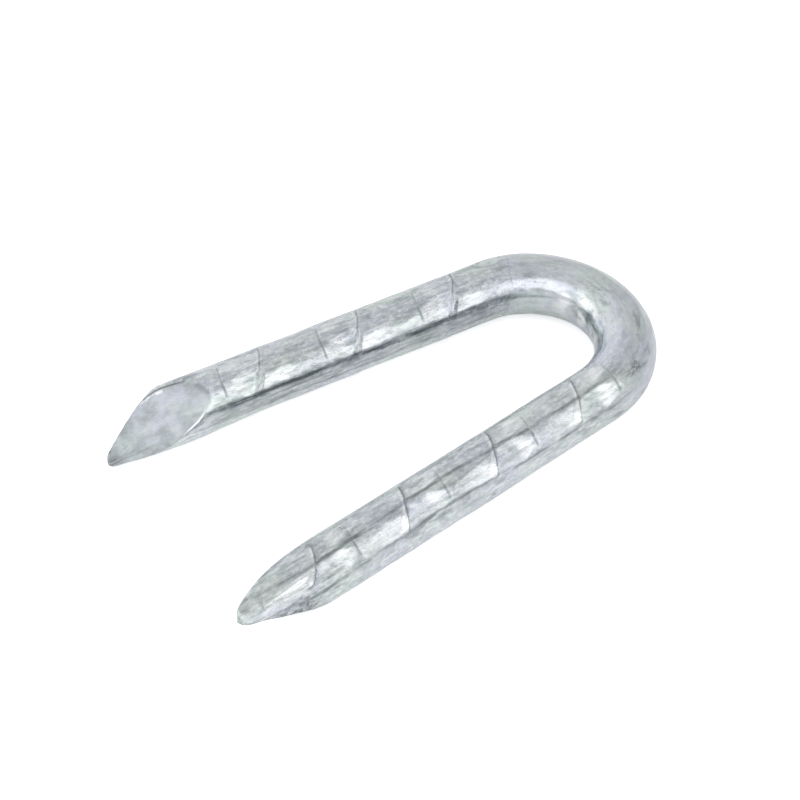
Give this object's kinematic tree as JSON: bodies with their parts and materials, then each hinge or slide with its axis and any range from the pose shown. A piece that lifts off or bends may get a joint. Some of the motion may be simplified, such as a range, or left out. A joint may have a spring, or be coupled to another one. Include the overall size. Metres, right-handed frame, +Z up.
{
  "type": "barbed fence staple",
  "caption": "U-shaped staple of round galvanised wire with slash-cut points and pressed barbs along both legs, for fixing fence wire to a post.",
  "frame": {"origin": "centre of the staple's outline at the level it lies on", "axes": "+Y from the points towards the crown, along the staple's length; +X from the left leg to the right leg; +Z up, square to the plane of the bend"},
  "size_m": [0.0208, 0.0378, 0.0042],
  "materials": {
    "galvanised_wire": "drawn steel wire, zinc coated, bright and streaked"
  },
  "bodies": {
    "root": {"staple": "galvanised_wire"}
  },
  "joints": []
}
